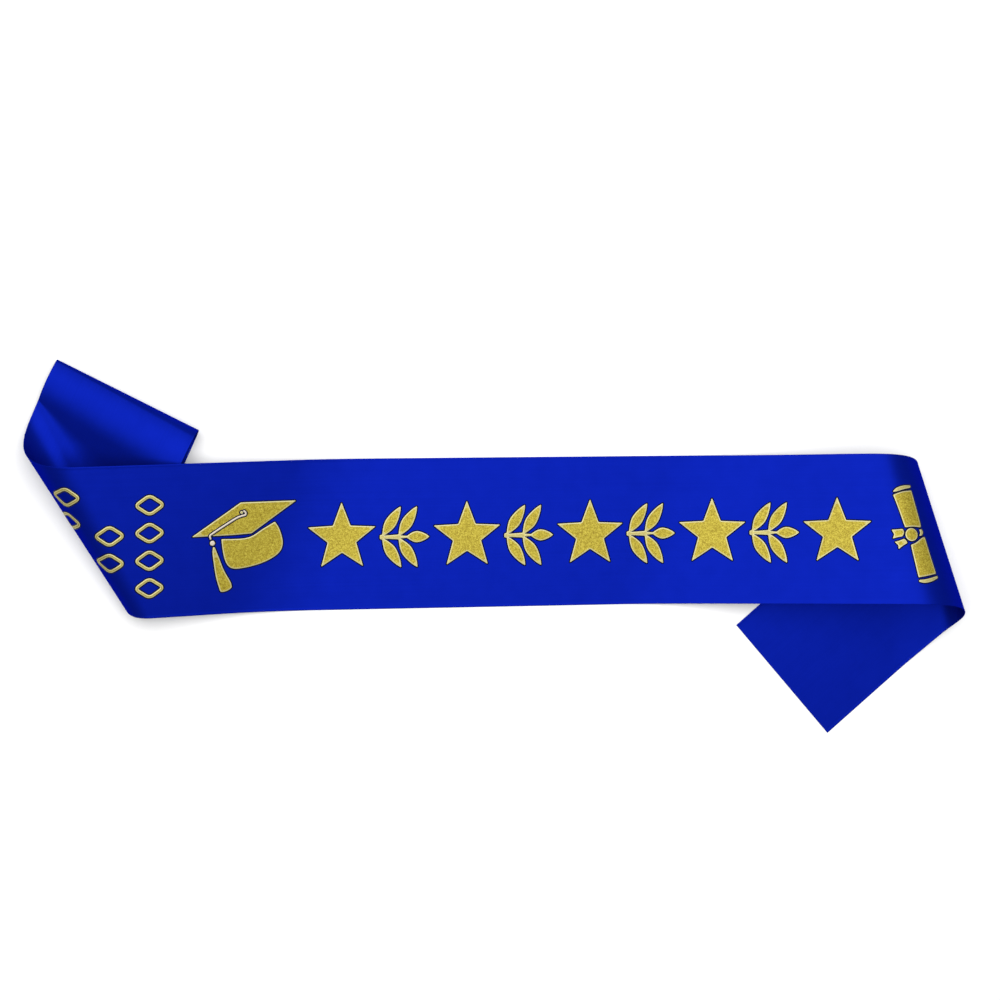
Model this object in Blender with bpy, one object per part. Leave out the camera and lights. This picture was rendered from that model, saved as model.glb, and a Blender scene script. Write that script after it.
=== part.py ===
# Graduation stole: one satin ribbon, folded and laid on a table, with a gold print on its face.
# Metres, +Z up, +X along the panel. The table is at z = 0.

import math

import bmesh
import bpy
from mathutils import Matrix, Vector

# Driving sizes
RIBBON_WIDTH = 0.095
RIBBON_THICKNESS = 0.001
PRINT_THICKNESS = 0.0004
PRINT_GAP = 0.0003
PANEL_HEADING = math.radians(0.7)

# Cut ends, as stations along the ribbon from the middle of the panel, in ribbon widths
TAIL_END = 4.70
BACK_END = -4.42

# Bends towards the tail, in order. Start and length are in ribbon widths along the middle of the
# ribbon. The skews lean the fold lines over, in degrees. A turn above zero lifts the print side.
TAIL_BENDS = (
    # name, start, length, first skew, last skew, turn, steps
    ("rise to the right fold", 0.96, 0.88, 20.0, 20.0, 21.0, 12),
    ("right fold, over", 2.56, 0.67, -12.5, -20.0, -106.0, 20),
    ("right fold, under", 3.23, 0.15, -20.0, -30.0, -84.0, 14),
)

# Bends towards the hidden end, in the same columns
BACK_BENDS = (
    ("rise to the left fold", -0.99, -0.60, 25.0, 25.0, 13.5, 8),
    ("left fold", -2.55, -0.56, -25.5, -41.0, -200.0, 30),
    ("loop of the back piece", -3.74, -0.21, -5.0, 5.0, 180.0, 20),
)

# Cloth and print: linear colour, roughness, metallic
SATIN = ((0.0045, 0.018, 0.42, 1.0), 0.38, 0.0)
GOLD_PRINT = ((0.56, 0.42, 0.05, 1.0), 0.55, 0.4)

# Cap figure: station and height across the ribbon, in ribbon widths
CAP_BOARD = ((-2.03, 0.02), (-1.645, 0.025), (-1.35, 0.235), (-1.71, 0.235))
CAP_CROWN = (
    (-1.84, -0.005), (-1.805, -0.175), (-1.74, -0.20), (-1.62, -0.19), (-1.52, -0.145),
    (-1.46, -0.095), (-1.44, -0.035), (-1.48, 0.10), (-1.655, -0.005),
)
CAP_TASSEL = (
    (-1.903, -0.055), (-1.885, -0.15), (-1.852, -0.352), (-1.815, -0.346), (-1.777, -0.325),
    (-1.852, -0.12), (-1.884, -0.052),
)
CAP_BUTTON = (-1.677, 0.164)
CAP_BUTTON_RADIUS = 0.018
CAP_CORD_END = (-1.915, 0.032)
CAP_CORD_WIDTH = 0.016
CAP_BEAD = (-1.898, -0.018)
CAP_BEAD_RADIUS = 0.015

# Diploma figure
DIPLOMA_TOP_RIM = ((2.628, 0.243), (2.770, 0.281), (2.766, 0.303), (2.624, 0.264))
DIPLOMA_TOP_ROLL = ((2.712, 0.007), (2.824, 0.028), (2.765, 0.262), (2.634, 0.225))
DIPLOMA_LOW_ROLL = ((2.796, -0.321), (2.924, -0.296), (2.854, -0.051), (2.749, -0.104))
DIPLOMA_LOW_RIM = ((2.794, -0.362), (2.942, -0.330), (2.938, -0.312), (2.790, -0.340))
DIPLOMA_KNOT = (2.757, -0.036)
DIPLOMA_KNOT_RADIUS = 0.036
DIPLOMA_BOW_UPPER = ((2.606, -0.002), (2.628, -0.036), (2.622, -0.070), (2.703, -0.052), (2.693, -0.020))
DIPLOMA_BOW_LOWER = (
    (2.648, -0.078), (2.703, -0.078), (2.726, -0.088), (2.712, -0.128), (2.672, -0.142), (2.668, -0.110),
)

# Garland: five-pointed stars with a sprig of leaves between each two
GARLAND_MIDDLE = 0.61
GARLAND_PITCH = 0.83
GARLAND_HEIGHT = -0.022
STAR_COUNT = 5
STAR_RADIUS = 0.235
STAR_WAIST = 0.42
SPRIG_STEM = 0.18
SPRIG_STEM_WIDTH = 0.026
SPRIG_TIP = 0.15
LEAF_LENGTH = 0.225
LEAF_WIDTH = 0.074
LEAF_LEAN = math.radians(58.0)

# Half outline of a leaf: share of its length, share of its half width
LEAF_SHAPE = ((0.0, 0.16), (0.18, 0.66), (0.42, 1.0), (0.70, 0.74), (1.0, 0.0))

# Where the leaves leave the stem, as shares of the stem
LEAF_FEET = (0.12, 0.72)

# Lozenge outlines near the left fold: name, station, height across, in ribbon widths
LOZENGE_LENGTH = 0.215
LOZENGE_HEIGHT = 0.150
LOZENGE_STROKE = 0.30
LOZENGES = (
    ("lozenge_a1", -2.300, 0.240),
    ("lozenge_a2", -2.303, 0.060),
    ("lozenge_a3", -2.306, -0.120),
    ("lozenge_a4", -2.309, -0.300),
    ("lozenge_b1", -2.555, 0.050),
    ("lozenge_b2", -2.558, -0.130),
    ("lozenge_c1", -2.825, 0.300),
    ("lozenge_c2", -2.828, 0.120),
)

ROUND_STEPS = 20
SHARP_ANGLE = math.radians(35.0)
ON_FOLD = 1e-6


def creases_of(bends):
    """Straight fold lines: station, tangent of the skew and turn, in the order they are met."""
    lines = []
    for name, start, length, first_skew, last_skew, turn, steps in bends:
        first = math.tan(math.radians(first_skew))
        last = math.tan(math.radians(last_skew))
        for step in range(steps):
            share = (step + 0.5) / steps
            station = (start + length * share) * RIBBON_WIDTH
            slope = first + (last - first) * share
            lines.append((station, slope, math.radians(turn) / steps))
    return lines


def fold(station, slope, turn):
    """Rotation about one fold line of the flat ribbon."""
    point = Vector((station, 0.0, 0.0))
    axis = Vector((slope, 1.0, 0.0)).normalized()
    there = Matrix.Translation(point)
    return there @ Matrix.Rotation(-turn, 4, axis) @ there.inverted()


def settle(frame, side):
    """Last fold line, which brings the ribbon down flat on the table."""
    normal = frame.to_3x3() @ Vector((0.0, 0.0, 1.0))
    level = frame.to_3x3().transposed() @ Vector((0.0, 0.0, 1.0)).cross(normal)
    slope = level.x / level.y
    run = frame.to_3x3() @ Vector((1.0, 0.0, 0.0))
    station = (RIBBON_THICKNESS / 2 - frame.translation.z) / run.z
    tilt = math.acos(min(1.0, abs(normal.z)))
    flattest = None
    for turn in (tilt, -tilt):
        flat = frame @ fold(station, slope, turn * side)
        upright = abs((flat.to_3x3() @ Vector((0.0, 0.0, 1.0))).z)
        if flattest is None or upright > flattest[0]:
            flattest = (upright, turn, flat)
    return (station, slope, flattest[1]), flattest[2]


def run_of(start, bends, side):
    """Fold lines and the frame of the flat piece after each of them."""
    lines = creases_of(bends)
    frames = []
    frame = start
    for station, slope, turn in lines:
        frame = frame @ fold(station, slope, turn * side)
        frames.append(frame)
    last_line, last_frame = settle(frame, side)
    return lines + [last_line], frames + [last_frame]


def ribbon_layout():
    """Every fold line from the hidden end to the tail, and the frame of every flat piece."""
    start = Matrix.Translation((0.0, 0.0, RIBBON_THICKNESS / 2)) @ Matrix.Rotation(PANEL_HEADING, 4, "Z")
    tail_lines, tail_frames = run_of(start, TAIL_BENDS, 1)
    back_lines, back_frames = run_of(start, BACK_BENDS, -1)
    lines = list(reversed(back_lines)) + tail_lines
    frames = list(reversed(back_frames)) + [start] + tail_frames
    return lines, frames


LINES, FRAMES = ribbon_layout()
NORMALS = [frame.to_3x3() @ Vector((0.0, 0.0, 1.0)) for frame in FRAMES]


def surface_point(station, across, lift):
    """A point of the folded ribbon, lifted off its middle layer along the face."""
    piece = 0
    for number, (line_station, slope, turn) in enumerate(LINES):
        past = station - line_station - across * slope
        if abs(past) < ON_FOLD:
            both = (NORMALS[number] + NORMALS[number + 1]).normalized()
            stretch = lift / both.dot(NORMALS[number])
            return FRAMES[number] @ Vector((station, across, 0.0)) + both * stretch
        if past > 0.0:
            piece = number + 1
    return FRAMES[piece] @ Vector((station, across, 0.0)) + NORMALS[piece] * lift


def ribbon_body():
    """Closed wall of the whole ribbon: one row of four corners at each cut end and fold line."""
    half = RIBBON_WIDTH / 2
    rows = [(BACK_END * RIBBON_WIDTH, 0.0)]
    rows += [(station, slope) for station, slope, turn in LINES]
    rows.append((TAIL_END * RIBBON_WIDTH, 0.0))
    points = []
    for station, slope in rows:
        for across, lift in ((-half, -1), (half, -1), (half, 1), (-half, 1)):
            points.append(surface_point(station + across * slope, across, lift * RIBBON_THICKNESS / 2))
    faces = [(0, 3, 2, 1)]
    for row in range(len(rows) - 1):
        near, far = 4 * row, 4 * row + 4
        for corner in range(4):
            after = (corner + 1) % 4
            faces.append((near + corner, near + after, far + after, far + corner))
    end = 4 * (len(rows) - 1)
    faces.append((end, end + 1, end + 2, end + 3))
    return points, faces


def print_body(flat_faces, layer):
    """Closed thin plate over the ribbon face, cut along the fold lines it crosses."""
    flat = bmesh.new()
    made = {}
    for face in flat_faces:
        for point in face:
            if point not in made:
                made[point] = flat.verts.new((point[0] * RIBBON_WIDTH, point[1] * RIBBON_WIDTH, 0.0))
        flat.faces.new([made[point] for point in face])
    bmesh.ops.triangulate(flat, faces=flat.faces[:])
    for station, slope, turn in LINES:
        reach = [vert.co.x - station - vert.co.y * slope for vert in flat.verts]
        if min(reach) < -ON_FOLD and max(reach) > ON_FOLD:
            bmesh.ops.bisect_plane(
                flat, geom=flat.verts[:] + flat.edges[:] + flat.faces[:], dist=ON_FOLD / 2,
                plane_co=(station, 0.0, 0.0), plane_no=(1.0, -slope, 0.0))
    flat.normal_update()
    flat.verts.index_update()
    rings = []
    for face in flat.faces:
        ring = [vert.index for vert in face.verts]
        if face.normal.z < 0.0:
            ring.reverse()
        rings.append(ring)
    low = RIBBON_THICKNESS / 2 + PRINT_GAP + layer * (PRINT_THICKNESS + PRINT_GAP)
    high = low + PRINT_THICKNESS
    points = [surface_point(vert.co.x, vert.co.y, low) for vert in flat.verts]
    points += [surface_point(vert.co.x, vert.co.y, high) for vert in flat.verts]
    count = len(flat.verts)
    flat.free()
    sides = {(near, far) for ring in rings for near, far in zip(ring, ring[1:] + ring[:1])}
    faces = [tuple(reversed(ring)) for ring in rings]
    faces += [tuple(index + count for index in ring) for ring in rings]
    for near, far in sorted(sides):
        if (far, near) not in sides:
            faces.append((near, far, far + count, near + count))
    return points, faces


def disc(centre, radius):
    """Round figure."""
    ring = []
    for step in range(ROUND_STEPS):
        angle = 2 * math.pi * step / ROUND_STEPS
        ring.append((centre[0] + radius * math.cos(angle), centre[1] + radius * math.sin(angle)))
    return [tuple(ring)]


def star(centre, radius):
    """Five-pointed star, one point up."""
    ring = []
    for step in range(10):
        reach = radius if step % 2 == 0 else radius * STAR_WAIST
        angle = math.pi / 2 + math.pi * step / 5
        ring.append((centre[0] + reach * math.cos(angle), centre[1] + reach * math.sin(angle)))
    return [tuple(ring)]


def band(start, end, width):
    """Straight stroke with square ends."""
    run = math.hypot(end[0] - start[0], end[1] - start[1])
    side_x = -(end[1] - start[1]) / run * width / 2
    side_y = (end[0] - start[0]) / run * width / 2
    return [(
        (start[0] - side_x, start[1] - side_y), (end[0] - side_x, end[1] - side_y),
        (end[0] + side_x, end[1] + side_y), (start[0] + side_x, start[1] + side_y))]


def lozenge(centre):
    """Open lozenge drawn with one stroke."""
    outer = []
    inner = []
    for along, across in ((1, 0), (0, 1), (-1, 0), (0, -1)):
        reach_along = along * LOZENGE_LENGTH / 2
        reach_across = across * LOZENGE_HEIGHT / 2
        hollow = 1.0 - LOZENGE_STROKE
        outer.append((centre[0] + reach_along, centre[1] + reach_across))
        inner.append((centre[0] + reach_along * hollow, centre[1] + reach_across * hollow))
    return [(outer[k], outer[(k + 1) % 4], inner[(k + 1) % 4], inner[k]) for k in range(4)]


def leaf_sides(foot, lean, length, width):
    """Right and left side of one leaf from its foot to its tip."""
    along = (math.cos(lean), math.sin(lean))
    across = (-along[1], along[0])
    sides = []
    for sign in (-1, 1):
        side = []
        for share, spread in LEAF_SHAPE:
            reach = share * length
            out = sign * spread * width / 2
            side.append(tuple(f + a * reach + c * out for f, a, c in zip(foot, along, across)))
        sides.append(side)
    return sides


def leaf_faces(right, left):
    faces = [(right[k], right[k + 1], left[k + 1], left[k]) for k in range(len(right) - 2)]
    faces.append((right[-2], right[-1], left[-2]))
    return faces


def sprig(centre):
    """Stem with two pairs of leaves and a leaf at its tip."""
    edge = SPRIG_STEM_WIDTH / 2
    start = centre[0] - (SPRIG_STEM + SPRIG_TIP) / 2
    faces = []
    upper_feet = []
    for share in reversed(LEAF_FEET):
        foot = (start + share * SPRIG_STEM, edge)
        right, left = leaf_sides(foot, LEAF_LEAN, LEAF_LENGTH, LEAF_WIDTH)
        faces += leaf_faces(right, left)
        faces += leaf_faces([(x, -y) for x, y in left], [(x, -y) for x, y in right])
        upper_feet += [right[0], left[0]]
    right, left = leaf_sides((start + SPRIG_STEM, 0.0), 0.0, SPRIG_TIP, LEAF_WIDTH)
    faces += leaf_faces(right, left)
    lower_feet = [(x, -y) for x, y in reversed(upper_feet)]
    faces.append(tuple([(start, -edge)] + lower_feet + [right[0], left[0]] + upper_feet + [(start, edge)]))
    return [tuple((x, y + centre[1]) for x, y in face) for face in faces]


def figures():
    """Name, flat faces and layer of every printed figure."""
    cord_run = math.hypot(CAP_CORD_END[0] - CAP_BUTTON[0], CAP_CORD_END[1] - CAP_BUTTON[1])
    cord_share = (CAP_BUTTON_RADIUS + CAP_CORD_WIDTH / 2) / cord_run
    cord_start = tuple(a + (b - a) * cord_share for a, b in zip(CAP_BUTTON, CAP_CORD_END))
    listed = [
        ("cap_board", [CAP_BOARD], 0),
        ("cap_crown", [CAP_CROWN], 0),
        ("cap_button", disc(CAP_BUTTON, CAP_BUTTON_RADIUS), 1),
        ("cap_cord", band(cord_start, CAP_CORD_END, CAP_CORD_WIDTH), 1),
        ("cap_bead", disc(CAP_BEAD, CAP_BEAD_RADIUS), 0),
        ("cap_tassel", [CAP_TASSEL], 0),
        ("diploma_top_rim", [DIPLOMA_TOP_RIM], 0),
        ("diploma_top_roll", [DIPLOMA_TOP_ROLL], 0),
        ("diploma_knot", disc(DIPLOMA_KNOT, DIPLOMA_KNOT_RADIUS), 0),
        ("diploma_bow_upper", [DIPLOMA_BOW_UPPER], 0),
        ("diploma_bow_lower", [DIPLOMA_BOW_LOWER], 0),
        ("diploma_low_roll", [DIPLOMA_LOW_ROLL], 0),
        ("diploma_low_rim", [DIPLOMA_LOW_RIM], 0),
    ]
    first = GARLAND_MIDDLE - GARLAND_PITCH * (STAR_COUNT - 1) / 2
    for number in range(STAR_COUNT):
        station = first + GARLAND_PITCH * number
        listed.append((f"star_{number + 1}", star((station, GARLAND_HEIGHT), STAR_RADIUS), 0))
        if number + 1 < STAR_COUNT:
            between = (station + GARLAND_PITCH / 2, GARLAND_HEIGHT)
            listed.append((f"sprig_{number + 1}", sprig(between), 0))
    for name, station, across in LOZENGES:
        listed.append((name, lozenge((station, across)), 0))
    return listed


def material(name, colour, roughness, metallic):
    made = bpy.data.materials.new(name)
    made.use_nodes = True
    shader = made.node_tree.nodes["Principled BSDF"]
    shader.inputs["Base Color"].default_value = colour
    shader.inputs["Roughness"].default_value = roughness
    shader.inputs["Metallic"].default_value = metallic
    made.diffuse_color = colour
    return made


def add_object(name, points, faces, surface, parent, smooth):
    mesh = bpy.data.meshes.new(name)
    mesh.from_pydata([tuple(point) for point in points], [], faces)
    mesh.materials.append(surface)
    if smooth:
        mesh.shade_smooth()
        mesh.set_sharp_from_angle(angle=SHARP_ANGLE)
    mesh.update()
    made = bpy.data.objects.new(name, mesh)
    made.parent = parent
    bpy.context.scene.collection.objects.link(made)


def build():
    for old in list(bpy.data.objects):
        bpy.data.objects.remove(old, do_unlink=True)
    bodies = [("sash_ribbon", *ribbon_body())]
    bodies += [(name, *print_body(flat_faces, layer)) for name, flat_faces, layer in figures()]
    everything = [point for name, points, faces in bodies for point in points]
    middle_x = (min(point.x for point in everything) + max(point.x for point in everything)) / 2
    middle_y = (min(point.y for point in everything) + max(point.y for point in everything)) / 2
    lay = bpy.data.objects.new("lay", None)
    lay.location = (-middle_x, -middle_y, 0.0)
    bpy.context.scene.collection.objects.link(lay)
    for name, points, faces in bodies:
        is_cloth = name == "sash_ribbon"
        surface = material(name, *(SATIN if is_cloth else GOLD_PRINT))
        add_object(name, points, faces, surface, lay, is_cloth)


build()
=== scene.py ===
import math

import bpy
import numpy as np
from mathutils import Matrix, Vector
from mathutils.geometry import delaunay_2d_cdt


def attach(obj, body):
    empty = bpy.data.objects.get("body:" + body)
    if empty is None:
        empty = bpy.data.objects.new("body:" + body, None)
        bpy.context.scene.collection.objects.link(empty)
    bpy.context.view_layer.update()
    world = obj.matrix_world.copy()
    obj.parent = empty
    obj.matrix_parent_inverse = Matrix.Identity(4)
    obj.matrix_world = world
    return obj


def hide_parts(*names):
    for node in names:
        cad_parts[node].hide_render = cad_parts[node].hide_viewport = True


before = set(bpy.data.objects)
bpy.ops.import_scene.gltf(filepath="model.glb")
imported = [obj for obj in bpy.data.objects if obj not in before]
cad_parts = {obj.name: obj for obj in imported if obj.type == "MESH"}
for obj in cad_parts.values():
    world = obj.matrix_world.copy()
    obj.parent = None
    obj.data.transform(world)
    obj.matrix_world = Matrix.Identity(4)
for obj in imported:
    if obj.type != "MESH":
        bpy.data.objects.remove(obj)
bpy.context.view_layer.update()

# Ribbon, as in the CAD part. The two ends are stations in ribbon widths.
RIBBON_WIDTH = 0.095
CAD_THICKNESS = 0.001
PANEL_HEADING = math.radians(0.7)
LAY = Vector((-0.003622, 0.013875, 0.0))
TAIL_END = 4.70
BACK_END = -4.42

# Bends in order: start, length, first skew, last skew, turn, steps. Ribbon widths and degrees.
TAIL_BENDS = (
    (0.96, 0.88, 20.0, 20.0, 21.0, 24),
    (2.40, 0.16, -12.5, -12.5, -4.0, 12),
    (2.56, 0.14, -12.5, -14.0, -14.0, 14),
    (2.70, 0.53, -14.0, -20.0, -88.0, 50),
    (3.23, 0.15, -20.0, -30.0, -84.0, 42),
)
BACK_BENDS = (
    (-0.99, -0.60, 25.0, 25.0, 14.70, 20),
    (-2.535, -0.594, -25.1, -40.4, -192.7, 90),
    (-3.235, -0.168, -34.2, -19.4, -18.0, 12),
    (-3.518, -0.295, -7.3, -4.4, 42.0, 30),
    (-3.813, -0.147, -4.4, 6.0, 156.0, 60),
)
# The last bend of each end lays it flat; its length is in ribbon widths.
TAIL_SETTLE = 0.20
BACK_SETTLE = 0.06
SETTLE_STEPS = 10

# Cloth wall
CLOTH = 0.00040
SELVEDGE = 0.0012
SELVEDGE_RISE = 0.00004
SELVEDGE_REACH = SELVEDGE * 1.1
FLOOR_GAP = 0.00003
ROW_GAP = 0.0025
CUT_ROW = 0.00012
EDGE_COLUMNS = (0.0, 0.00005, 0.00012, 0.00022, SELVEDGE * 0.5, SELVEDGE, SELVEDGE * 1.25)
EVEN_COLUMNS_FROM = SELVEDGE * 1.5
EVEN_COLUMNS = 25
BATCH = 20000

# Print figures, as in the CAD part, in ribbon widths. The lozenge's stroke and rounding are shares of its size.
# A point marked 1 is a corner; the outline runs smoothly through the others.
GARLAND_MIDDLE = 0.61
GARLAND_PITCH = 0.83
GARLAND_HEIGHT = -0.022
STAR_COUNT = 5
STAR_POINTS = 5
STAR_RADIUS = 0.235
STAR_WAIST = 0.42
SPRIG_STEM = 0.18
SPRIG_STEM_WIDTH = 0.026
SPRIG_TIP = 0.15
LEAF_LENGTH = 0.225
LEAF_WIDTH = 0.074
LEAF_LEAN = math.radians(58.0)
LEAF_SHAPE = ((0.0, 0.16), (0.08, 0.40), (0.18, 0.66), (0.30, 0.90), (0.42, 1.0),
              (0.56, 0.93), (0.70, 0.74), (0.86, 0.42), (1.0, 0.0))
LEAF_FEET = (0.12, 0.72)
LOZENGE_LENGTH = 0.215
LOZENGE_HEIGHT = 0.150
LOZENGE_STROKE = 0.30
LOZENGE_ROUND = 0.28
LOZENGE_ROUND_POINTS = 9
LOZENGES = (
    ("lozenge_a1", -2.300, 0.240), ("lozenge_a2", -2.303, 0.060), ("lozenge_a3", -2.306, -0.120),
    ("lozenge_a4", -2.309, -0.300), ("lozenge_b1", -2.555, 0.050), ("lozenge_b2", -2.558, -0.130),
    ("lozenge_c1", -2.825, 0.300), ("lozenge_c2", -2.828, 0.120),
)
OUTLINES = {
    "cap_board": ((-2.034, 0.020, 1), (-1.884, 0.021, 0), (-1.764, 0.022, 0), (-1.645, 0.027, 1),
                  (-1.349, 0.233, 1), (-1.715, 0.234, 1)),
    "cap_crown": ((-1.843, -0.002, 1), (-1.836, -0.067, 0), (-1.824, -0.130, 0), (-1.807, -0.171, 0),
                  (-1.782, -0.195, 0), (-1.743, -0.203, 0), (-1.658, -0.193, 0), (-1.573, -0.171, 0),
                  (-1.499, -0.136, 0), (-1.456, -0.098, 0), (-1.440, -0.056, 0), (-1.443, -0.010, 0),
                  (-1.463, 0.053, 0), (-1.490, 0.098, 1), (-1.572, 0.052, 0), (-1.640, 0.010, 0),
                  (-1.691, -0.003, 0), (-1.764, -0.005, 0)),
    "cap_tassel": ((-1.898, -0.052, 1), (-1.901, -0.090, 0), (-1.894, -0.155, 0), (-1.878, -0.259, 0),
                   (-1.852, -0.350, 1), (-1.834, -0.352, 0), (-1.800, -0.343, 0), (-1.776, -0.325, 1),
                   (-1.783, -0.293, 0), (-1.827, -0.210, 0), (-1.860, -0.123, 0), (-1.887, -0.052, 1)),
    "diploma_top_rim": ((2.634, 0.245, 1), (2.658, 0.271, 0), (2.712, 0.290, 0), (2.768, 0.294, 1),
                        (2.764, 0.278, 1), (2.721, 0.268, 0), (2.659, 0.248, 0)),
    "diploma_top_roll": ((2.636, 0.226, 1), (2.672, 0.130, 0), (2.708, 0.023, 0), (2.714, 0.009, 1),
                         (2.766, 0.016, 0), (2.826, 0.014, 1), (2.829, 0.030, 0), (2.803, 0.137, 0),
                         (2.771, 0.260, 1), (2.701, 0.249, 0)),
    "diploma_bow_upper": ((2.622, -0.007, 1), (2.660, -0.005, 0), (2.697, -0.001, 1), (2.705, -0.025, 0),
                          (2.695, -0.051, 1), (2.662, -0.057, 0), (2.629, -0.067, 1), (2.640, -0.038, 1)),
    "diploma_bow_lower": ((2.642, -0.088, 1), (2.672, -0.080, 0), (2.705, -0.066, 1), (2.718, -0.078, 0),
                          (2.727, -0.095, 1), (2.700, -0.110, 0), (2.667, -0.137, 1), (2.666, -0.111, 1)),
    "diploma_low_roll": ((2.750, -0.107, 1), (2.786, -0.091, 0), (2.836, -0.055, 0), (2.856, -0.051, 1),
                         (2.889, -0.165, 0), (2.928, -0.292, 1), (2.869, -0.307, 0), (2.797, -0.322, 1),
                         (2.773, -0.214, 0)),
    "diploma_low_rim": ((2.798, -0.339, 1), (2.855, -0.331, 0), (2.938, -0.307, 1), (2.941, -0.321, 1),
                        (2.892, -0.345, 0), (2.842, -0.357, 0), (2.802, -0.352, 1)),
    "diploma_bow_end": ((2.815, 0.000, 1), (2.837, -0.002, 0), (2.843, -0.021, 0), (2.833, -0.040, 0),
                        (2.813, -0.045, 1), (2.822, -0.022, 0)),
}
CORD_LINE = ((-1.694, 0.177, 1), (-1.683, 0.166, 0), (-1.686, 0.151, 0), (-1.704, 0.147, 0), (-1.741, 0.134, 0),
             (-1.825, 0.085, 0), (-1.900, 0.038, 0), (-1.917, 0.024, 0), (-1.914, 0.005, 1))
CORD_WIDTH = 0.012
DISC_POINTS = 24
CAP_BEAD = (-1.901, -0.026)
CAP_BEAD_RADIUS = 0.017
CAP_BUTTON = (-1.710, 0.168)
CAP_BUTTON_RADIUS = 0.010
DIPLOMA_KNOT = (2.757, -0.038)
DIPLOMA_KNOT_RADIUS = 0.043

# Print layers: a navy line outside the outline, partly the print's keyline and partly painted shadow at its raised
# edge;
# a pale rim inside it, painted highlight of the rounded edge; gold beyond
NAVY_SHADOW_LINE = 0.00075
CORD_NAVY_SHADOW_LINE = 0.0007
LOZENGE_STROKE_WIDTH = 0.0019
HIGHLIGHT_RIM = 0.00065
EDGE_ROUND = 0.00025
PRINT_LIFT = CLOTH / 2 + 0.00001
LINE_HEIGHT = 0.00005
GOLD_HEIGHT = 0.00018

# Steps of the print's meshes. The inner grid's rows and clearance are shares of its step, and a point of a ring
# stays if its reach is at least RING_KEPT of the ring's. CAP_TIP keeps a rounded end from closing to a point.
OUTLINE_STEP = 0.00045
INNER_STEP = 0.0014
GRID_ROW = 0.87
GRID_CLEAR = 0.5
RING_KEPT = 0.97
RIM_SNAP = 0.00002
MESHING_SCALE = 1000.0
MESHING_NEAR = 1e-6
CAP_STEPS = 6
CAP_TIP = 0.35

# Noise detail of the materials
FINE_DETAIL = 2.0
SOFT_DETAIL = 1.0

# Satin: linear colours, and noise scales along and across the ribbon
SATIN_DARK = (0.0016, 0.0080, 0.215)
SATIN_LIGHT = (0.0022, 0.0098, 0.250)
SATIN_STOPS = (0.30, 0.70)
SATIN_TINT = (0.03, 0.12, 1.0)
SATIN_ROUGH = 0.42
SATIN_ROUGH_SPREAD = 0.03
SATIN_METAL = 0.5
SATIN_SPECULAR = 0.0
SATIN_STREAK = (6.0, 900.0)
SATIN_CLOUD = (90.0, 90.0)
SATIN_GRAIN = (1600.0, 1600.0)
WEAVE = (2500.0, 8000.0)
WEAVE_STRENGTH = 0.35
WEAVE_DEPTH = 0.00003

# Glitter print: linear colours. The zones cover a span of the reach inside the outline, and their stops
# are shares of that span. The fade pair is how far the gold's edge fades before and after the pale rim's width;
# the pale rim is painted highlight of the print's rounded edge.
# Navy line colour: partly the print's keyline, partly painted shadow at its raised edge
NAVY_AND_SHADOW = (0.0, 0.001, 0.022)
GOLD_DARK = (0.208, 0.148, 0.0103)
GOLD_MID = (0.323, 0.258, 0.0225)
GOLD_LIGHT = (0.469, 0.389, 0.0544)
GOLD_STOPS = (0.22, 0.50, 0.80)
# Rim colour: painted highlight of the print's rounded edge
RIM_HIGHLIGHT = (0.478, 0.445, 0.234)
PALE = (0.520, 0.466, 0.394)
GLITTER_METAL = 0.42
GLITTER_ROUGH = 0.5
GLITTER_SPECULAR = 0.2
GLITTER_STRENGTH = 0.5
GLITTER_DEPTH = 0.00006
FLAKE = 0.00045
PATCH = FLAKE * 4
ZONE_FROM = -0.001
ZONE_TO = 0.002
NAVY_SHADOW_STOPS = (0.3333, 0.35)
HIGHLIGHT_FADE = (0.07, 0.05)

# Floor, light, sky and camera
FLOOR_HALF = 8.0
FLOOR_HEIGHT = -0.00002
FLOOR_GREY = 0.86
FLOOR_ROUGH = 0.9
FLOOR_SPECULAR = 0.1
LIGHT_PLACE = (-0.10, 0.42, 1.6)
LIGHT_AIM = (-0.06, 0.1, 0.0)
LIGHT_SIZE = (2.4, 1.9)
LIGHT_POWER = 54.5
SKY_STRENGTH = 0.15
CAMERA_DISTANCE = 1.0957
CAMERA_LENS = 62.31
CAMERA_SENSOR = 36.0
CAMERA_TILT = (-3.895, -6.995)
CAMERA_AIM = (LAY.x, LAY.y + 0.0204, 0.0)


# The folded ribbon
def fold(station, slope, turn):
    """The turn of all that lies beyond one slanted line across the flat ribbon."""
    point = Matrix.Translation((station, 0.0, 0.0))
    return point @ Matrix.Rotation(-turn, 4, Vector((slope, 1.0, 0.0))) @ point.inverted()


def bend_lines(bends):
    """Each bend as many small folds: station, slope and turn."""
    lines = []
    for start, length, first, last, turn, steps in bends:
        low, high = math.tan(math.radians(first)), math.tan(math.radians(last))
        for step in range(steps):
            share = (step + 0.5) / steps
            station = (start + length * share) * RIBBON_WIDTH
            lines.append((station, low + (high - low) * share, math.radians(turn) / steps))
    return lines


def settle_lines(frame_there, side, length):
    """Fold lines that bring the end of the ribbon down flat on the table."""
    turning = frame_there.to_3x3()
    normal = turning @ Vector((0.0, 0.0, 1.0))
    level = turning.transposed() @ Vector((0.0, 0.0, 1.0)).cross(normal)
    slope = level.x / level.y
    station = (CAD_THICKNESS / 2 - frame_there.translation.z) / (turning @ Vector((1.0, 0.0, 0.0))).z
    tilt = math.acos(min(1.0, abs(normal.z)))
    uprights = []
    for turn in (tilt, -tilt):
        flat = (frame_there @ fold(station, slope, turn * side)).to_3x3()
        uprights.append((abs((flat @ Vector((0.0, 0.0, 1.0))).z), turn))
    turn = max(uprights)[1]
    span = side * length * RIBBON_WIDTH
    shares = [(k + 0.5) / SETTLE_STEPS - 0.5 for k in range(SETTLE_STEPS)]
    return [(station + span * share, slope, turn / SETTLE_STEPS) for share in shares]


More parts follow.
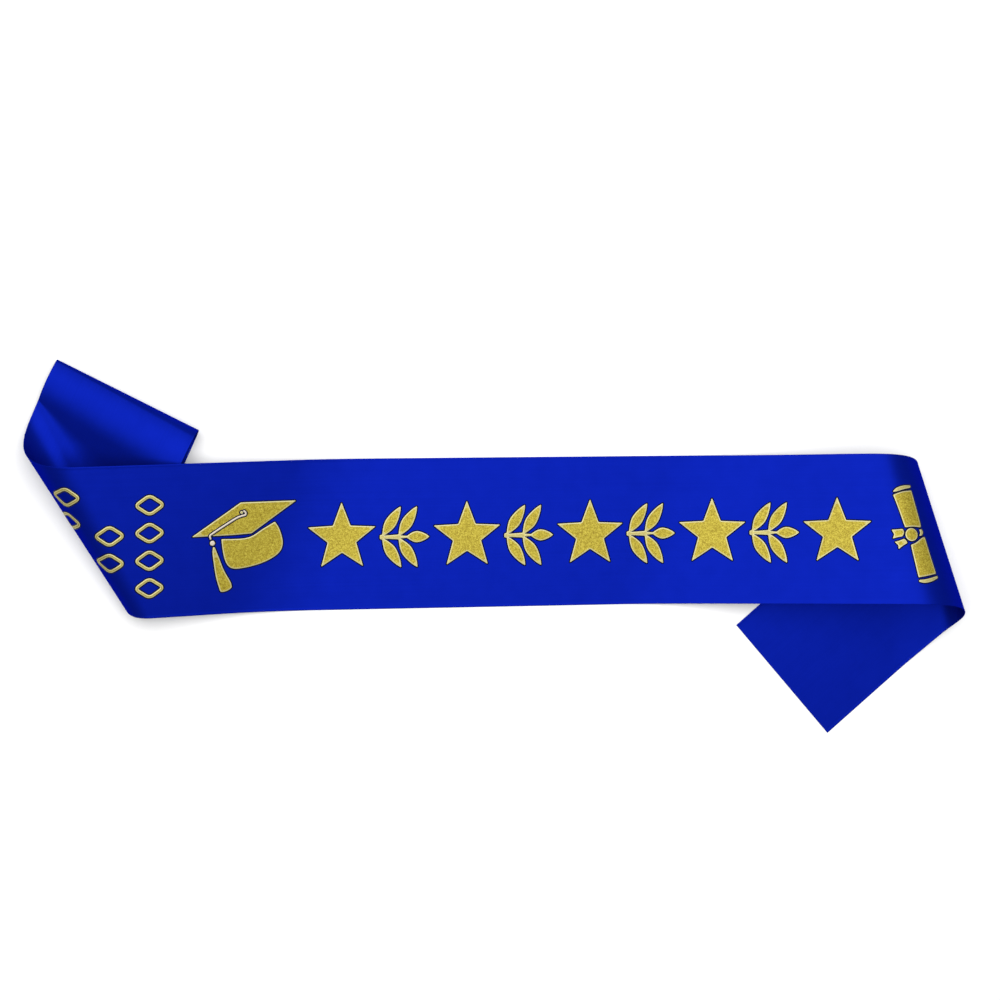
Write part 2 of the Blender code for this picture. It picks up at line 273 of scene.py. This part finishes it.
def run_of(start, bends, side, settle):
    """Fold lines from the panel out to one end, and the ribbon's frame after each of them."""
    lines = bend_lines(bends)
    frames = []
    now = start
    for station, slope, turn in lines:
        now = now @ fold(station, slope, turn * side)
        frames.append(now)
    for line in settle_lines(now, side, settle):
        now = now @ fold(line[0], line[1], line[2] * side)
        lines.append(line)
        frames.append(now)
    return lines, frames


def ribbon_layout():
    """All fold lines from the back piece's end to the tail's, and the frames of the strips between them."""
    sink = CLOTH / 2 + SELVEDGE_RISE + FLOOR_GAP - CAD_THICKNESS / 2
    start = Matrix.Translation((0.0, 0.0, CAD_THICKNESS / 2)) @ Matrix.Rotation(PANEL_HEADING, 4, "Z")
    tail_lines, tail_frames = run_of(start, TAIL_BENDS, 1, TAIL_SETTLE)
    back_lines, back_frames = run_of(start, BACK_BENDS, -1, BACK_SETTLE)
    shift = Matrix.Translation(LAY + Vector((0.0, 0.0, sink)))
    return back_lines[::-1] + tail_lines, [shift @ one for one in back_frames[::-1] + [start] + tail_frames]


LINES, FRAMES = ribbon_layout()
STATIONS = np.array([line[0] for line in LINES])
SLOPES = np.array([line[1] for line in LINES])
TURNS = np.array([[list(row) for row in one] for one in FRAMES])
NORMALS = TURNS[:, :3, 2]
LINE_NORMALS = NORMALS[:-1] + NORMALS[1:]
LINE_NORMALS /= np.linalg.norm(LINE_NORMALS, axis=1)[:, None]


def on_ribbon(station, across, lift):
    """Points over the folded ribbon: station and height across in metres, lift along the face."""
    station, across = np.asarray(station, float), np.asarray(across, float)
    lift = np.broadcast_to(np.asarray(lift, float), station.shape)
    found = np.zeros((len(station), 3))
    for first in range(0, len(station), BATCH):
        part = slice(first, first + BATCH)
        s, w = station[part], across[part]
        reach = s[:, None] - STATIONS[None, :] - w[:, None] * SLOPES[None, :]
        strip = (reach > 0.0).sum(1)
        rows = np.arange(len(s))
        before, after = np.maximum(strip - 1, 0), np.minimum(strip, len(LINES) - 1)
        near, far = np.abs(reach[rows, before]), np.abs(reach[rows, after])
        share = (near / np.maximum(near + far, 1e-9))[:, None]
        normal = LINE_NORMALS[before] * (1 - share) + LINE_NORMALS[after] * share
        ends = (strip == 0) | (strip == len(LINES))
        normal[ends] = NORMALS[strip[ends]]
        normal /= np.linalg.norm(normal, axis=1)[:, None]
        flat = np.stack([s, w, np.zeros(len(s)), np.ones(len(s))], 1)
        found[part] = np.einsum("nij,nj->ni", TURNS[strip][:, :3, :], flat) + normal * lift[part][:, None]
    return found


def add_object(name, data):
    made = bpy.data.objects.new(name, data)
    bpy.context.scene.collection.objects.link(made)
    return made


def add_mesh(name, points, faces, flat_uv, reach=None):
    """Smooth piece with its place on the flat ribbon as UVs, and its reach inside the outline as an attribute."""
    mesh = bpy.data.meshes.new(name)
    mesh.from_pydata(points.tolist(), [], faces)
    mesh.update()
    layer = mesh.uv_layers.new(name="flat")
    corner = np.zeros(len(mesh.loops), np.int32)
    mesh.loops.foreach_get("vertex_index", corner)
    layer.data.foreach_set("uv", np.asarray(flat_uv, np.float32)[corner].ravel())
    if reach is not None:
        mesh.attributes.new("rim", "FLOAT", "POINT").data.foreach_set("value", np.asarray(reach, np.float32))
    mesh.shade_smooth()
    return add_object(name, mesh)


# Cloth
def cloth_rows():
    """Station and slope of every row of points: the fold lines, with rows between where they are far apart."""
    lines = [(BACK_END * RIBBON_WIDTH, 0.0)] + [line[:2] for line in LINES] + [(TAIL_END * RIBBON_WIDTH, 0.0)]
    rows = [lines[0]]
    half = RIBBON_WIDTH / 2
    for near, far in zip(lines, lines[1:]):
        gap = max(far[0] - near[0] + side * half * (far[1] - near[1]) for side in (-1, 1))
        count = max(1, math.ceil(gap / ROW_GAP))
        for k in range(1, count + 1):
            share = k / count
            rows.append((near[0] + (far[0] - near[0]) * share, near[1] + (far[1] - near[1]) * share))
    rows.insert(1, (rows[0][0] + CUT_ROW, rows[0][1]))
    rows.insert(-1, (rows[-1][0] - CUT_ROW, rows[-1][1]))
    return rows


def cloth_section():
    """Heights across and half thicknesses, from the lower to the upper edge."""
    half = RIBBON_WIDTH / 2
    inner = half - EVEN_COLUMNS_FROM
    upper = [half - gap for gap in reversed(EDGE_COLUMNS)]
    across = np.concatenate([[gap - half for gap in EDGE_COLUMNS], np.linspace(-inner, inner, EVEN_COLUMNS), upper])
    gap = half - np.abs(across)
    inward = np.clip(gap / (CLOTH / 2), 0.0, 1.0)
    lift = np.sqrt(1 - (1 - inward) ** 2) * (CLOTH / 2 + SELVEDGE_RISE * (gap < SELVEDGE_REACH))
    return across, lift


def make_cloth():
    """The ribbon as one closed wall: rings of points round its section, and a face over each cut end."""
    rows = cloth_rows()
    across, lift = cloth_section()
    ring_across = np.concatenate([across, across[-2:0:-1]])
    ring_lift = np.concatenate([lift, -lift[-2:0:-1]])
    ring = len(ring_across)
    station = np.array([s + ring_across * slope for s, slope in rows])
    wide = np.broadcast_to(ring_across, station.shape)
    lifts = np.broadcast_to(ring_lift, station.shape)
    points = on_ribbon(station.ravel(), wide.ravel(), lifts.ravel())
    faces = []
    for row in range(len(rows) - 1):
        near, far = row * ring, (row + 1) * ring
        for k in range(ring):
            after = (k + 1) % ring
            faces.append((near + k, far + k, far + after, near + after))
    last = (len(rows) - 1) * ring
    for k in range(len(across) - 1):
        end = tuple(dict.fromkeys((k, k + 1, (ring - k - 1) % ring, (ring - k) % ring)))
        faces.append(end)
        faces.append(tuple(last + i for i in reversed(end)))
    return add_mesh("sash_cloth", points, faces, np.stack([station.ravel(), wide.ravel()], 1))


# Print
def sampled(points, step, closed=True):
    """A line through the points in metres, smooth but for its corners, sampled at about one step."""
    rows = np.array([(x * RIBBON_WIDTH, y * RIBBON_WIDTH) for x, y, corner in points])
    corners = [corner for x, y, corner in points]
    count = len(rows)
    line = []
    for k in range(count if closed else count - 1):
        after = (k + 1) % count
        here, there = rows[k], rows[after]
        reach = np.linalg.norm(there - here)
        leave = arrive = there - here
        if not corners[k]:
            span = reach + np.linalg.norm(here - rows[k - 1])
            leave = (there - rows[k - 1]) * reach / span
        if not corners[after]:
            beyond = rows[(after + 1) % count]
            span = reach + np.linalg.norm(beyond - there)
            arrive = (beyond - here) * reach / span
        steps = max(1, math.ceil(reach / step))
        for share in np.arange(steps) / steps:
            a, b = share * share * (3 - 2 * share), share * (1 - share)
            line.append(here * (1 - a) + there * a + leave * b * (1 - share) - arrive * b * share)
    if not closed:
        line.append(rows[-1])
    return np.array(line)


def eased(line):
    """Corners of a closed line rounded by about one step."""
    for _ in range(2):
        line = (np.roll(line, 1, 0) + 2 * line + np.roll(line, -1, 0)) / 4
    return line


def signed_reach(points, line):
    """Distance of each point inside a closed line; outside it is below zero."""
    after = np.roll(line, -1, 0)
    run = after - line
    length = (run ** 2).sum(1)
    found = np.zeros(len(points))
    for k, point in enumerate(points):
        share = np.clip(((point - line) * run).sum(1) / length, 0.0, 1.0)
        gap = np.sqrt((((line + run * share[:, None]) - point) ** 2).sum(1)).min()
        over = (line[:, 1] > point[1]) != (after[:, 1] > point[1])
        across = line[:, 0] + (point[1] - line[:, 1]) * run[:, 0] / np.where(run[:, 1] == 0, 1e-12, run[:, 1])
        found[k] = gap if (over & (point[0] < across)).sum() % 2 else -gap
    return found


def ring_at(line, inside):
    """The closed line moved inwards, without the points that come too near it elsewhere."""
    along = np.roll(line, -1, 0) - np.roll(line, 1, 0)
    inward = np.stack([-along[:, 1], along[:, 0]], 1) / np.linalg.norm(along, axis=1)[:, None]
    moved = line + inward * inside
    reach = signed_reach(moved, line)
    return moved[(np.abs(reach) > abs(inside) * RING_KEPT) & (reach * inside > 0)]


def anticlockwise(line):
    after = np.roll(line, -1, 0)
    area = (line[:, 0] * after[:, 1] - after[:, 0] * line[:, 1]).sum()
    return line if area > 0 else line[::-1]


def height_at(reach):
    """Height of the print over its base: up from the navy line's edge, then round up to the gold."""
    rounded = np.clip(reach / EDGE_ROUND, 0.0, 1.0)
    return np.where(reach < 0, LINE_HEIGHT * np.clip(1 + reach / NAVY_SHADOW_LINE, 0.0, 1.0),
                    LINE_HEIGHT + (GOLD_HEIGHT - LINE_HEIGHT) * np.sqrt(1 - (1 - rounded) ** 2))


def close_shell(name, flat, reach, triangles, base):
    """Closed thin body over the cloth from one flat triangulation; its outer ring lies on the cloth."""
    edges = {edge for triangle in triangles for edge in zip(triangle, triangle[1:] + triangle[:1])}
    rim = {point for a, b in edges if (b, a) not in edges for point in (a, b)}
    top = on_ribbon(flat[:, 0], flat[:, 1], base + height_at(reach))
    low = on_ribbon(flat[:, 0], flat[:, 1], base)
    below, extra = {}, []
    for k in range(len(flat)):
        if k in rim:
            top[k] = low[k]
            below[k] = k
        else:
            below[k] = len(flat) + len(extra)
            extra.append(k)
    faces = [tuple(t) for t in triangles] + [tuple(below[k] for k in reversed(t)) for t in triangles]
    return add_mesh(name + "_print", np.concatenate([top, low[extra]]), faces,
                    np.concatenate([flat, flat[extra]]), np.concatenate([reach, reach[extra]]))


def print_figure(name, line, base=PRINT_LIFT):
    """Thin body inside a closed line, with the navy line outside it."""
    line = anticlockwise(eased(line))
    outer = ring_at(line, -NAVY_SHADOW_LINE)
    low, high = line.min(0), line.max(0)
    grid = np.array([(x + INNER_STEP / 2 * (row % 2), y)
                     for row, y in enumerate(np.arange(low[1], high[1], INNER_STEP * GRID_ROW))
                     for x in np.arange(low[0], high[0], INNER_STEP)])
    grid = grid[signed_reach(grid, line) > HIGHLIGHT_RIM + INNER_STEP * GRID_CLEAR]
    flat = np.concatenate([outer, line, ring_at(line, EDGE_ROUND), ring_at(line, HIGHLIGHT_RIM), grid])
    made = delaunay_2d_cdt([Vector(p * MESHING_SCALE) for p in flat], [], [list(range(len(outer)))], 1, MESHING_NEAR)
    points = np.array([tuple(v) for v in made[0]]) / MESHING_SCALE
    reach = signed_reach(points, line)
    reach[np.abs(reach + NAVY_SHADOW_LINE) < RIM_SNAP] = -NAVY_SHADOW_LINE
    triangles = []
    for face in made[2]:
        a, b, c = (points[k] for k in face)
        turn = (b[0] - a[0]) * (c[1] - a[1]) - (b[1] - a[1]) * (c[0] - a[0])
        triangles.append(list(face) if turn > 0 else list(reversed(face)))
    return close_shell(name, points, reach, triangles, base)


def print_stroke(name, line, width, closed, base=PRINT_LIFT, navy_shadow_line=NAVY_SHADOW_LINE):
    """Strip of one width along a line, with rounded ends where it is open."""
    half = width / 2
    full = half + navy_shadow_line
    offsets = np.array([-full, -half, -half + EDGE_ROUND, 0.0, half - EDGE_ROUND, half, full])
    along = np.roll(line, -1, 0) - np.roll(line, 1, 0) if closed else np.gradient(line, axis=0)
    ahead = along / np.linalg.norm(along, axis=1)[:, None]
    side = np.stack([-ahead[:, 1], ahead[:, 0]], 1)
    core, squeeze = line, np.ones(len(line))
    if not closed:
        back = [math.cos(math.pi / 2 * k / CAP_STEPS) for k in range(CAP_STEPS)]
        thin = [math.sin(math.pi / 2 * max(k, CAP_TIP) / CAP_STEPS) for k in range(CAP_STEPS)]
        first = [line[0] - ahead[0] * full * share for share in back]
        last = [line[-1] + ahead[-1] * full * share for share in reversed(back)]
        core = np.concatenate([first, line, last])
        side = np.concatenate([np.repeat(side[:1], CAP_STEPS, 0), side, np.repeat(side[-1:], CAP_STEPS, 0)])
        squeeze = np.array(thin + [1.0] * len(line) + thin[::-1])
    flat = core[:, None, :] + side[:, None, :] * (offsets[None, :] * squeeze[:, None])[:, :, None]
    count, wide = flat.shape[:2]
    flat = flat.reshape(-1, 2)
    if closed:
        reach = np.tile(half - np.abs(offsets), count)
    else:
        reach = half - np.sqrt(((flat[:, None, :] - line[None, :, :]) ** 2).sum(2)).min(1)
    triangles = []
    for row in range(count if closed else count - 1):
        near, far = row * wide, (row + 1) % count * wide
        for k in range(wide - 1):
            triangles.append([near + k, far + k, far + k + 1])
            triangles.append([near + k, far + k + 1, near + k + 1])
    return close_shell(name, flat, reach, triangles, base)


def star_outline(centre):
    points = []
    for k in range(2 * STAR_POINTS):
        reach = STAR_RADIUS if k % 2 == 0 else STAR_RADIUS * STAR_WAIST
        angle = math.pi / 2 + math.pi * k / STAR_POINTS
        points.append((centre[0] + reach * math.cos(angle), centre[1] + reach * math.sin(angle), 1))
    return sampled(points, OUTLINE_STEP)


def leaf_sides(foot, lean, length):
    """The two long sides of a leaf, each from its foot to its tip."""
    along = (math.cos(lean), math.sin(lean))
    sides = []
    for sign in (-1, 1):
        side = []
        for share, spread in LEAF_SHAPE:
            out = sign * spread * LEAF_WIDTH / 2
            side.append((foot[0] + along[0] * share * length - along[1] * out,
                         foot[1] + along[1] * share * length + along[0] * out, 0))
        sides.append(side)
    return sides


def leaf_loop(out, back):
    """Out along one side of a leaf and back along the other, with corners at its foot and tip."""
    foot, tip, heel = (point[:2] + (1,) for point in (out[0], out[-1], back[0]))
    return [foot] + out[1:-1] + [tip] + back[-2:0:-1] + [heel]


def sprig_outline(centre):
    """A stem with two pairs of leaves and a leaf at its end, as one outline."""
    edge = SPRIG_STEM_WIDTH / 2
    start = -(SPRIG_STEM + SPRIG_TIP) / 2
    lower, upper = [(start, -edge, 1)], [(start, edge, 1)]
    for share in LEAF_FEET:
        right, left = leaf_sides((start + share * SPRIG_STEM, edge), LEAF_LEAN, LEAF_LENGTH)
        leaf = leaf_loop(left, right)
        upper += leaf
        lower += [(x, -y, corner) for x, y, corner in leaf]
    right, left = leaf_sides((start + SPRIG_STEM, 0.0), 0.0, SPRIG_TIP)
    loop = lower + leaf_loop(right, left) + upper[::-1]
    return sampled([(x + centre[0], y + centre[1], corner) for x, y, corner in loop], OUTLINE_STEP)


def lozenge_line(centre):
    """Middle of a lozenge's stroke, with rounded corners."""
    share = 1 - LOZENGE_STROKE / 2
    corners = [(LOZENGE_LENGTH / 2 * share, 0.0), (0.0, LOZENGE_HEIGHT / 2 * share),
               (-LOZENGE_LENGTH / 2 * share, 0.0), (0.0, -LOZENGE_HEIGHT / 2 * share)]
    line = []
    for k in range(4):
        before, here, after = (np.array(corners[(k + d) % 4]) for d in (-1, 0, 1))
        start, end = here + (before - here) * LOZENGE_ROUND, here + (after - here) * LOZENGE_ROUND
        for t in np.linspace(0.0, 1.0, LOZENGE_ROUND_POINTS):
            line.append((1 - t) ** 2 * start + 2 * t * (1 - t) * here + t * t * end)
    return sampled([(x + centre[0], y + centre[1], 1) for x, y in line], OUTLINE_STEP)


def disc_outline(centre, radius):
    angles = [2 * math.pi * k / DISC_POINTS for k in range(DISC_POINTS)]
    return sampled([(centre[0] + radius * math.cos(a), centre[1] + radius * math.sin(a), 0) for a in angles],
                   OUTLINE_STEP)


def make_prints():
    """Every print piece by its name, which is that of its CAD node where it has one."""
    made = {name: print_figure(name, sampled(points, OUTLINE_STEP)) for name, points in OUTLINES.items()}
    made["cap_bead"] = print_figure("cap_bead", disc_outline(CAP_BEAD, CAP_BEAD_RADIUS))
    made["diploma_knot"] = print_figure("diploma_knot", disc_outline(DIPLOMA_KNOT, DIPLOMA_KNOT_RADIUS))
    above = PRINT_LIFT + GOLD_HEIGHT
    made["cap_cord"] = print_stroke("cap_cord", sampled(CORD_LINE, OUTLINE_STEP, False),
                                    CORD_WIDTH * RIBBON_WIDTH, False, above, CORD_NAVY_SHADOW_LINE)
    made["cap_button"] = print_figure("cap_button", disc_outline(CAP_BUTTON, CAP_BUTTON_RADIUS), above)
    first = GARLAND_MIDDLE - GARLAND_PITCH * (STAR_COUNT - 1) / 2
    for k in range(STAR_COUNT):
        station = first + GARLAND_PITCH * k
        star, sprig = f"star_{k + 1}", f"sprig_{k + 1}"
        made[star] = print_figure(star, star_outline((station, GARLAND_HEIGHT)))
        if k + 1 < STAR_COUNT:
            made[sprig] = print_figure(sprig, sprig_outline((station + GARLAND_PITCH / 2, GARLAND_HEIGHT)))
    for name, station, across in LOZENGES:
        made[name] = print_stroke(name, lozenge_line((station, across)), LOZENGE_STROKE_WIDTH, True)
    return made


# Materials
def new_material(name):
    made = bpy.data.materials.new(name)
    made.use_nodes = True
    return made, made.node_tree, made.node_tree.nodes["Principled BSDF"]


def fill(tree, made, sockets):
    """Each socket gets its link or its constant."""
    for key, value in sockets.items():
        if isinstance(value, bpy.types.NodeSocket):
            tree.links.new(value, made.inputs[key])
        else:
            made.inputs[key].default_value = value


def node(tree, kind, sockets, **settings):
    made = tree.nodes.new(kind)
    for key, value in settings.items():
        setattr(made, key, value)
    fill(tree, made, sockets)
    return made


def maths(tree, operation, first, second):
    return node(tree, "ShaderNodeMath", {0: first, 1: second}, operation=operation).outputs[0]


def ramp(tree, factor, positions, colours):
    made = node(tree, "ShaderNodeValToRGB", {"Fac": factor})
    elements = made.color_ramp.elements
    while len(elements) < len(positions):
        elements.new(0.5)
    for element, position, colour in zip(elements, positions, colours):
        element.position = position
        element.color = (*colour, 1.0)
    return made.outputs["Color"]


def zone_mask(tree, zones, positions):
    return ramp(tree, zones, positions, ((0, 0, 0), (1, 1, 1)))


def blended(tree, factor, low, high):
    return node(tree, "ShaderNodeMix", {0: factor, 6: (*low, 1.0), 7: high}, data_type="RGBA").outputs[2]


def bumped(tree, height, strength, distance):
    made = node(tree, "ShaderNodeBump", {"Height": height, "Strength": strength, "Distance": distance})
    return made.outputs["Normal"]


def satin_material():
    """Royal blue satin: warp streaks along the ribbon, a fine weave and a soft even gloss."""
    made, tree, shader = new_material("satin")
    flat = node(tree, "ShaderNodeUVMap", {}, uv_map="flat").outputs["UV"]

    def cloth_noise(scales, detail):
        stretched = node(tree, "ShaderNodeVectorMath", {0: flat, 1: (*scales, 1.0)}, operation="MULTIPLY")
        noise = node(tree, "ShaderNodeTexNoise", {"Vector": stretched.outputs[0], "Scale": 1.0, "Detail": detail})
        return noise.outputs["Fac"]

    streaks = cloth_noise(SATIN_STREAK, FINE_DETAIL)
    cloud = cloth_noise(SATIN_CLOUD, SOFT_DETAIL)
    grain = cloth_noise(SATIN_GRAIN, SOFT_DETAIL)
    tone = maths(tree, "ADD", maths(tree, "ADD", streaks, cloud), grain)
    tone = maths(tree, "MULTIPLY", tone, 1.0 / 3.0)
    rough = node(tree, "ShaderNodeMapRange", {
        "Value": grain, "To Min": SATIN_ROUGH - SATIN_ROUGH_SPREAD, "To Max": SATIN_ROUGH + SATIN_ROUGH_SPREAD})
    fill(tree, shader, {
        "Base Color": ramp(tree, tone, SATIN_STOPS, (SATIN_DARK, SATIN_LIGHT)),
        "Roughness": rough.outputs[0],
        "Metallic": SATIN_METAL,
        "Specular IOR Level": SATIN_SPECULAR,
        "Specular Tint": (*SATIN_TINT, 1.0),
        "Normal": bumped(tree, cloth_noise(WEAVE, FINE_DETAIL), WEAVE_STRENGTH, WEAVE_DEPTH)})
    return made


def glitter_material(name, dark, mid, light, rim):
    """Glitter print: navy line round it, partly painted edge shadow; a pale rim of painted edge highlight and gold
    flakes inside.
    """
    made, tree, shader = new_material(name)
    reach = node(tree, "ShaderNodeAttribute", {}, attribute_name="rim").outputs["Fac"]
    place = node(tree, "ShaderNodeUVMap", {}, uv_map="flat").outputs["UV"]
    flakes = node(tree, "ShaderNodeTexVoronoi", {"Vector": place, "Scale": 1.0 / FLAKE}, voronoi_dimensions="2D")
    patches = node(tree, "ShaderNodeTexNoise", {"Vector": place, "Scale": 1.0 / PATCH, "Detail": FINE_DETAIL})
    apart = node(tree, "ShaderNodeSeparateColor", {"Color": flakes.outputs["Color"]})
    tone = maths(tree, "MULTIPLY", maths(tree, "ADD", apart.outputs[0], patches.outputs["Fac"]), 0.5)
    gold = ramp(tree, tone, GOLD_STOPS, (dark, mid, light))
    zones = node(tree, "ShaderNodeMapRange", {"Value": reach, "From Min": ZONE_FROM, "From Max": ZONE_TO}).outputs[0]
    # Outside the outline: the navy line, partly painted shadow at the print's edge
    inside = zone_mask(tree, zones, NAVY_SHADOW_STOPS)
    # Zone of the pale rim, a painted highlight along the print's edge
    highlight_stop = (HIGHLIGHT_RIM - ZONE_FROM) / (ZONE_TO - ZONE_FROM)
    beyond_highlight = zone_mask(tree, zones, (highlight_stop - HIGHLIGHT_FADE[0], highlight_stop + HIGHLIGHT_FADE[1]))
    fill(tree, shader, {
        "Base Color": blended(tree, inside, NAVY_AND_SHADOW, blended(tree, beyond_highlight, rim, gold)),
        "Metallic": maths(tree, "MULTIPLY", inside, GLITTER_METAL),
        "Roughness": GLITTER_ROUGH,
        "Specular IOR Level": GLITTER_SPECULAR,
        "Normal": bumped(tree, apart.outputs[1], GLITTER_STRENGTH, GLITTER_DEPTH)})
    return made


def floor_material():
    made, tree, shader = new_material("floor")
    fill(tree, shader, {"Base Color": (FLOOR_GREY, FLOOR_GREY, FLOOR_GREY, 1.0), "Roughness": FLOOR_ROUGH,
                        "Specular IOR Level": FLOOR_SPECULAR})
    return made


# Floor, light and camera
def make_floor():
    half = FLOOR_HALF
    mesh = bpy.data.meshes.new("floor")
    mesh.from_pydata([(-half, -half, 0), (half, -half, 0), (half, half, 0), (-half, half, 0)], [], [(0, 1, 2, 3)])
    mesh.materials.append(floor_material())
    made = add_object("floor", mesh)
    made.location.z = FLOOR_HEIGHT
    return made


def make_light():
    """One broad soft light overhead, and a pale even sky."""
    data = bpy.data.lights.new("overhead", "AREA")
    data.shape = "RECTANGLE"
    data.size, data.size_y = LIGHT_SIZE
    data.energy = LIGHT_POWER
    made = add_object("overhead", data)
    made.location = LIGHT_PLACE
    made.rotation_euler = (Vector(LIGHT_AIM) - Vector(LIGHT_PLACE)).to_track_quat("-Z", "Y").to_euler()
    world = bpy.data.worlds.new("studio")
    world.use_nodes = True
    fill(world.node_tree, world.node_tree.nodes["Background"],
         {"Color": (1.0, 1.0, 1.0, 1.0), "Strength": SKY_STRENGTH})
    bpy.context.scene.world = world
    bpy.context.scene.view_settings.view_transform = "Standard"


def make_camera():
    data = bpy.data.cameras.new("camera")
    data.lens = CAMERA_LENS
    data.sensor_width = CAMERA_SENSOR
    made = add_object("camera", data)
    made.matrix_world = (
        Matrix.Translation(CAMERA_AIM)
        @ Matrix.Rotation(math.radians(CAMERA_TILT[0]), 4, "X")
        @ Matrix.Rotation(math.radians(CAMERA_TILT[1]), 4, "Y")
        @ Matrix.Translation((0.0, 0.0, CAMERA_DISTANCE)))
    return made


cloth = make_cloth()
prints = make_prints()

cloth.data.materials.append(satin_material())
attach(cloth, "root")
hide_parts("sash_ribbon")

gold = glitter_material("gold_glitter", GOLD_DARK, GOLD_MID, GOLD_LIGHT, RIM_HIGHLIGHT)
pale = glitter_material("pale_print", PALE, PALE, PALE, PALE)
for name, piece in prints.items():
    piece.data.materials.append(pale if name in ("cap_cord", "cap_bead") else gold)
    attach(piece, "root")
    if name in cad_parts:
        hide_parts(name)

floor = make_floor()
make_light()
bpy.context.scene.camera = make_camera()
